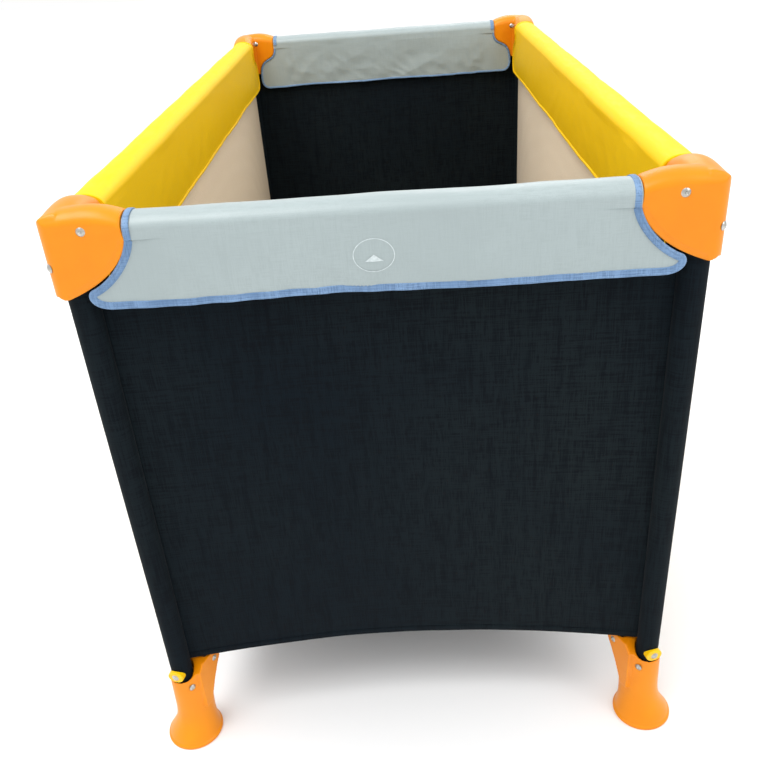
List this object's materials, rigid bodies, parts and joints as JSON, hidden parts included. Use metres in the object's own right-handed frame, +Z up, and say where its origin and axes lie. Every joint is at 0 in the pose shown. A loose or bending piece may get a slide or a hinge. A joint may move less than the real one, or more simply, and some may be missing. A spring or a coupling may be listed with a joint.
{
  "type": "folding playpen",
  "caption": "Rectangular folding playpen with padded top rails, fabric ends, mesh sides, moulded corner heads and boot feet on a collapsing steel frame.",
  "frame": {"origin": "centre of the footprint, on the floor", "axes": "+X along the short side, +Y along the long side away from the viewer, +Z up"},
  "size_m": [0.6734, 1.2834, 0.7325],
  "materials": {
    "orange_plastic": "satin moulded plastic",
    "yellow_plastic": "satin moulded plastic",
    "black_plastic": "fine grained moulded plastic",
    "button_plastic": "smooth moulded plastic",
    "post_steel": "powder coat",
    "tube_steel": "powder coat",
    "rivet_steel": "zinc plated",
    "latch_steel": "zinc plated",
    "dark_fabric": "fine plain weave",
    "floor_fabric": "plain weave over a soft board",
    "blue_grey_fabric": "satin weave",
    "blue_binding": "ribbed bias tape",
    "yellow_fabric": "satin weave",
    "beige_mesh": "fine net",
    "strap_webbing": "woven webbing"
  },
  "bodies": {
    "post_front_left": {"post_tube_front_left": "post_steel", "corner_head_front_left": "orange_plastic", "foot_front_left": "orange_plastic", "post_sleeve_front_left": "dark_fabric", "sleeve_plug_front_left": "yellow_plastic", "post_rivets_front_left": "rivet_steel", "end_panel_front": "dark_fabric", "side_mesh_left": "beige_mesh"},
    "post_front_right": {"post_tube_front_right": "post_steel", "corner_head_front_right": "orange_plastic", "foot_front_right": "orange_plastic", "post_sleeve_front_right": "dark_fabric", "sleeve_plug_front_right": "yellow_plastic", "post_rivets_front_right": "rivet_steel", "side_mesh_right": "beige_mesh"},
    "post_rear_left": {"post_tube_rear_left": "post_steel", "corner_head_rear_left": "orange_plastic", "foot_rear_left": "orange_plastic", "post_sleeve_rear_left": "dark_fabric", "sleeve_plug_rear_left": "yellow_plastic", "post_rivets_rear_left": "rivet_steel", "end_panel_rear": "dark_fabric"},
    "post_rear_right": {"post_tube_rear_right": "post_steel", "corner_head_rear_right": "orange_plastic", "foot_rear_right": "orange_plastic", "post_sleeve_rear_right": "dark_fabric", "sleeve_plug_rear_right": "yellow_plastic", "post_rivets_rear_right": "rivet_steel"},
    "arm_front_left": {"base_arm_front_left": "tube_steel"},
    "arm_front_right": {"base_arm_front_right": "tube_steel"},
    "arm_rear_left": {"base_arm_rear_left": "tube_steel"},
    "arm_rear_right": {"base_arm_rear_right": "tube_steel"},
    "hub": {"hub_body": "black_plastic", "hub_pins": "rivet_steel", "pull_strap": "strap_webbing", "floor_panel": "floor_fabric"},
    "rail_front_left": {"rail_tube_front_left": "tube_steel", "rail_cover_front_left": "blue_grey_fabric"},
    "latch_front": {"latch_bracket_front": "latch_steel"},
    "rail_front_right": {"rail_tube_front_right": "tube_steel", "rail_cover_front_right": "blue_grey_fabric"},
    "button_front": {"latch_button_front": "button_plastic"},
    "rail_rear_left": {"rail_tube_rear_left": "tube_steel", "rail_cover_rear_left": "blue_grey_fabric"},
    "latch_rear": {"latch_bracket_rear": "latch_steel"},
    "rail_rear_right": {"rail_tube_rear_right": "tube_steel", "rail_cover_rear_right": "blue_grey_fabric"},
    "button_rear": {"latch_button_rear": "button_plastic"},
    "rail_left_front": {"rail_tube_left_front": "tube_steel", "rail_cover_left_front": "yellow_fabric"},
    "latch_left": {"latch_bracket_left": "latch_steel"},
    "rail_left_rear": {"rail_tube_left_rear": "tube_steel", "rail_cover_left_rear": "yellow_fabric"},
    "button_left": {"latch_button_left": "button_plastic"},
    "rail_right_front": {"rail_tube_right_front": "tube_steel", "rail_cover_right_front": "yellow_fabric"},
    "latch_right": {"latch_bracket_right": "latch_steel"},
    "rail_right_rear": {"rail_tube_right_rear": "tube_steel", "rail_cover_right_rear": "yellow_fabric"},
    "button_right": {"latch_button_right": "button_plastic"}
  },
  "joints": [
    {"name": "fold", "type": "hinge", "parent": "post_front_left", "child": "arm_front_left", "pos_m": [-0.275, -0.58, 0.11], "axis": [0.9135, -0.4069, 0], "range_deg": [0, 85], "deforming": ["end_panel_front", "end_panel_rear", "side_mesh_left", "side_mesh_right", "floor_panel", "rail_cover_front_left", "rail_cover_front_right", "rail_cover_rear_left", "rail_cover_rear_right", "rail_cover_left_front", "rail_cover_left_rear", "rail_cover_right_front", "rail_cover_right_rear"]},
    {"name": "hub_on_arm", "type": "hinge", "parent": "arm_front_left", "child": "hub", "pos_m": [-0.03, -0.03, 0.11], "axis": [0.9135, -0.4069, 0], "range_deg": [-85, 0]},
    {"name": "arm_front_right_pivot", "type": "hinge", "parent": "hub", "child": "arm_front_right", "pos_m": [0.03, -0.03, 0.11], "axis": [0.9135, 0.4069, 0], "range_deg": [0, 85]},
    {"name": "post_front_right_pivot", "type": "hinge", "parent": "arm_front_right", "child": "post_front_right", "pos_m": [0.275, -0.58, 0.11], "axis": [0.9135, 0.4069, 0], "range_deg": [-85, 0]},
    {"name": "arm_rear_left_pivot", "type": "hinge", "parent": "hub", "child": "arm_rear_left", "pos_m": [-0.03, 0.03, 0.11], "axis": [-0.9135, -0.4069, 0], "range_deg": [0, 85]},
    {"name": "post_rear_left_pivot", "type": "hinge", "parent": "arm_rear_left", "child": "post_rear_left", "pos_m": [-0.275, 0.58, 0.11], "axis": [-0.9135, -0.4069, 0], "range_deg": [-85, 0]},
    {"name": "arm_rear_right_pivot", "type": "hinge", "parent": "hub", "child": "arm_rear_right", "pos_m": [0.03, 0.03, 0.11], "axis": [-0.9135, 0.4069, 0], "range_deg": [0, 85]},
    {"name": "post_rear_right_pivot", "type": "hinge", "parent": "arm_rear_right", "child": "post_rear_right", "pos_m": [0.275, 0.58, 0.11], "axis": [-0.9135, 0.4069, 0], "range_deg": [-85, 0]},
    {"name": "rail_front_left_pivot", "type": "hinge", "parent": "post_front_left", "child": "rail_front_left", "pos_m": [-0.278, -0.605, 0.713], "axis": [0, 1, 0], "range_deg": [0, 85]},
    {"name": "latch_front_pivot", "type": "hinge", "parent": "rail_front_left", "child": "latch_front", "pos_m": [-0.033, -0.605, 0.713], "axis": [0, 1, 0], "range_deg": [-85, 0]},
    {"name": "rail_front_right_pivot", "type": "hinge", "parent": "latch_front", "child": "rail_front_right", "pos_m": [0.033, -0.605, 0.713], "axis": [0, 1, 0], "range_deg": [-85, 0]},
    {"name": "press_front", "type": "slide", "parent": "latch_front", "child": "button_front", "axis": [0, 1, 0], "range_m": [0, 0.006], "stiffness_N_per_m": 600, "springref_m": -0.004},
    {"name": "rail_rear_left_pivot", "type": "hinge", "parent": "post_rear_left", "child": "rail_rear_left", "pos_m": [-0.278, 0.605, 0.713], "axis": [0, 1, 0], "range_deg": [0, 85]},
    {"name": "latch_rear_pivot", "type": "hinge", "parent": "rail_rear_left", "child": "latch_rear", "pos_m": [-0.033, 0.605, 0.713], "axis": [0, 1, 0], "range_deg": [-85, 0]},
    {"name": "rail_rear_right_pivot", "type": "hinge", "parent": "latch_rear", "child": "rail_rear_right", "pos_m": [0.033, 0.605, 0.713], "axis": [0, 1, 0], "range_deg": [-85, 0]},
    {"name": "press_rear", "type": "slide", "parent": "latch_rear", "child": "button_rear", "axis": [0, -1, 0], "range_m": [0, 0.006], "stiffness_N_per_m": 600, "springref_m": -0.004},
    {"name": "rail_left_front_pivot", "type": "hinge", "parent": "post_front_left", "child": "rail_left_front", "pos_m": [-0.3, -0.583, 0.713], "axis": [-1, 0, 0], "range_deg": [0, 85]},
    {"name": "latch_left_pivot", "type": "hinge", "parent": "rail_left_front", "child": "latch_left", "pos_m": [-0.3, -0.033, 0.713], "axis": [-1, 0, 0], "range_deg": [-85, 0]},
    {"name": "rail_left_rear_pivot", "type": "hinge", "parent": "latch_left", "child": "rail_left_rear", "pos_m": [-0.3, 0.033, 0.713], "axis": [-1, 0, 0], "range_deg": [-85, 0]},
    {"name": "press_left", "type": "slide", "parent": "latch_left", "child": "button_left", "axis": [1, 0, 0], "range_m": [0, 0.006], "stiffness_N_per_m": 600, "springref_m": -0.004},
    {"name": "rail_right_front_pivot", "type": "hinge", "parent": "post_front_right", "child": "rail_right_front", "pos_m": [0.3, -0.583, 0.713], "axis": [-1, 0, 0], "range_deg": [0, 85]},
    {"name": "latch_right_pivot", "type": "hinge", "parent": "rail_right_front", "child": "latch_right", "pos_m": [0.3, -0.033, 0.713], "axis": [-1, 0, 0], "range_deg": [-85, 0]},
    {"name": "rail_right_rear_pivot", "type": "hinge", "parent": "latch_right", "child": "rail_right_rear", "pos_m": [0.3, 0.033, 0.713], "axis": [-1, 0, 0], "range_deg": [-85, 0]},
    {"name": "press_right", "type": "slide", "parent": "latch_right", "child": "button_right", "axis": [-1, 0, 0], "range_m": [0, 0.006], "stiffness_N_per_m": 600, "springref_m": -0.004}
  ],
  "couplings": [
    {"joint": "hub_on_arm", "follows": "fold", "ratio": -1},
    {"joint": "arm_front_right_pivot", "follows": "fold", "ratio": 1},
    {"joint": "post_front_right_pivot", "follows": "fold", "ratio": -1},
    {"joint": "arm_rear_left_pivot", "follows": "fold", "ratio": 1},
    {"joint": "post_rear_left_pivot", "follows": "fold", "ratio": -1},
    {"joint": "arm_rear_right_pivot", "follows": "fold", "ratio": 1},
    {"joint": "post_rear_right_pivot", "follows": "fold", "ratio": -1},
    {"joint": "rail_front_left_pivot", "follows": "fold", "ratio": 1},
    {"joint": "latch_front_pivot", "follows": "fold", "ratio": -1},
    {"joint": "rail_front_right_pivot", "follows": "fold", "ratio": -1},
    {"joint": "rail_rear_left_pivot", "follows": "fold", "ratio": 1},
    {"joint": "latch_rear_pivot", "follows": "fold", "ratio": -1},
    {"joint": "rail_rear_right_pivot", "follows": "fold", "ratio": -1},
    {"joint": "rail_left_front_pivot", "follows": "fold", "ratio": 1},
    {"joint": "latch_left_pivot", "follows": "fold", "ratio": -1},
    {"joint": "rail_left_rear_pivot", "follows": "fold", "ratio": -1},
    {"joint": "rail_right_front_pivot", "follows": "fold", "ratio": 1},
    {"joint": "latch_right_pivot", "follows": "fold", "ratio": -1},
    {"joint": "rail_right_rear_pivot", "follows": "fold", "ratio": -1}
  ]
}
